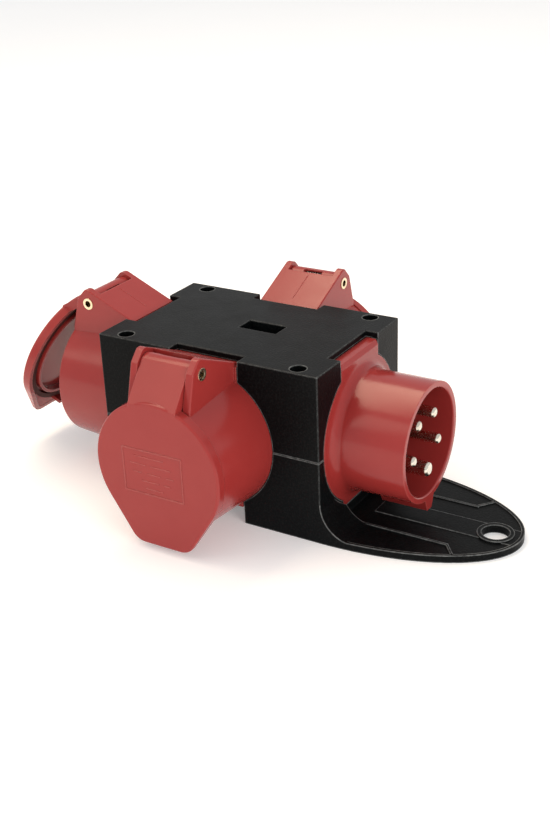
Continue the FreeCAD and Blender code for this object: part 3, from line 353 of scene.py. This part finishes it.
LID_FACE = 0.040
LABEL_MIDDLE_Y, LABEL_MIDDLE_Z = -0.0018, 0.0395
FIELD_HALF_WIDE = 0.00032
FIELD_HIGH = 0.00014
LABEL_ROWS = (  # height above the label's middle, then (start, end) of each blank field, in mm
    (7.4, ((-9.5, 6.0),)),
    (3.6, ((-12.0, -3.5), (-1.0, 9.5))),
    (-0.4, ((-10.5, -6.0), (-3.0, 4.0), (7.0, 11.0))),
    (-4.2, ((-6.0, 3.0), (5.5, 9.0))),
    (-7.8, ((-4.5, 5.0),)),
)


def blank_fields(face):
    """Plain raised dashes inside the frame on a lid."""
    verts, faces = [], []
    for rise, fields in LABEL_ROWS:
        for start, end in fields:
            y = LABEL_MIDDLE_Y + (start + end) / 2 * MM
            middle = Vector((LID_FACE, y, LABEL_MIDDLE_Z + rise * MM))
            half = ((end - start) / 2 * MM, FIELD_HALF_WIDE)
            bar(verts, faces, half, middle, Y_AXIS, Z_AXIS, OUTWARD, FIELD_HIGH)
    detail(face + "_blank_fields", at_rest(face) @ on_face(face), verts, faces, face + "_lid_body", "red_lid")


for face in FACES:
    moulding_line(face)
    blank_fields(face)


# ---------------------------------------------------------------- floor and light

FLOOR_REACH = 6.0
FLOOR_DROP = 0.0001
FLOOR_GLOW = 0.24
SKY_STRENGTH = 0.71
AIM = Vector((-0.03, 0.0, 0.04))
WHITE = (1.0, 1.0, 1.0, 1.0)


def pale_floor():
    """A wide white floor just under the part."""
    mesh = bpy.data.meshes.new("floor")
    mesh.from_pydata([(u * FLOOR_REACH, v * FLOOR_REACH, 0) for u, v in CORNERS], [], [(0, 1, 2, 3)])
    floor = bpy.data.objects.new("floor", mesh)
    bpy.context.scene.collection.objects.link(floor)
    floor.location.z = -FLOOR_DROP
    mat, tree, shader = new_material("pale_floor")
    cloud = noise(tree, object_coords(tree), 3.0)
    tone = ramp(tree, (cloud, "Fac"), (0.3, (0.90, 0.90, 0.90)), (0.7, (0.92, 0.92, 0.92)))
    put(tree, shader, "Base Color", (tone, "Color"))
    shader.inputs["Roughness"].default_value = 0.7
    shader.inputs["Specular IOR Level"].default_value = 0.1
    shader.inputs["Emission Color"].default_value = WHITE
    shader.inputs["Emission Strength"].default_value = FLOOR_GLOW
    mesh.materials.append(mat)


def white_world():
    world = bpy.data.worlds.new("studio")
    world.use_nodes = True
    background = world.node_tree.nodes["Background"]
    background.inputs["Color"].default_value = WHITE
    background.inputs["Strength"].default_value = SKY_STRENGTH
    bpy.context.scene.world = world


def area_light(name, place, width, height, power, colour):
    """A rectangular lamp that looks at the part."""
    lamp = bpy.data.lights.new(name, "AREA")
    lamp.shape = "RECTANGLE"
    lamp.size, lamp.size_y = width, height
    lamp.energy = power
    lamp.color = colour
    item = bpy.data.objects.new(name, lamp)
    bpy.context.scene.collection.objects.link(item)
    item.location = place
    item.rotation_euler = (AIM - Vector(place)).to_track_quat("-Z", "Y").to_euler()
    return item


pale_floor()
white_world()
area_light("softbox", (-0.52, 0.12, 1.1), 1.25, 0.34, 7.6, (1.0, 0.80, 0.58))
area_light("front_left", (-0.80, -0.82, 0.86), 0.8, 0.6, 2.6, (1.0, 0.86, 0.70))
fill = area_light("side", (1.25, -0.62, 0.42), 0.6, 0.6, 8.6, (1.0, 0.95, 0.90))
fill.visible_glossy = False  # it lights the right-hand faces and leaves no reflection


# ---------------------------------------------------------------- camera

CAMERA_PLACE = (0.24106, -0.45906, 0.29398)
CAMERA_RIGHT = Vector((0.85651, 0.51484, -0.03639))
CAMERA_UP = Vector((-0.1916, 0.3827, 0.9038))
CAMERA_FORWARD = Vector((-0.47923, 0.76712, -0.42645))
FOCAL_LENGTH, FILM_WIDTH = 54.96, 36.0  # mm
NEAREST = 0.01

lens = bpy.data.cameras.new("camera")
lens.lens = FOCAL_LENGTH
lens.sensor_width = FILM_WIDTH
lens.clip_start = NEAREST
camera = bpy.data.objects.new("camera", lens)
bpy.context.scene.collection.objects.link(camera)
turn = Matrix((CAMERA_RIGHT, CAMERA_UP, -CAMERA_FORWARD)).transposed().to_4x4()
camera.matrix_world = Matrix.Translation(CAMERA_PLACE) @ turn
bpy.context.scene.camera = camera
bpy.context.scene.view_settings.view_transform = "Standard"
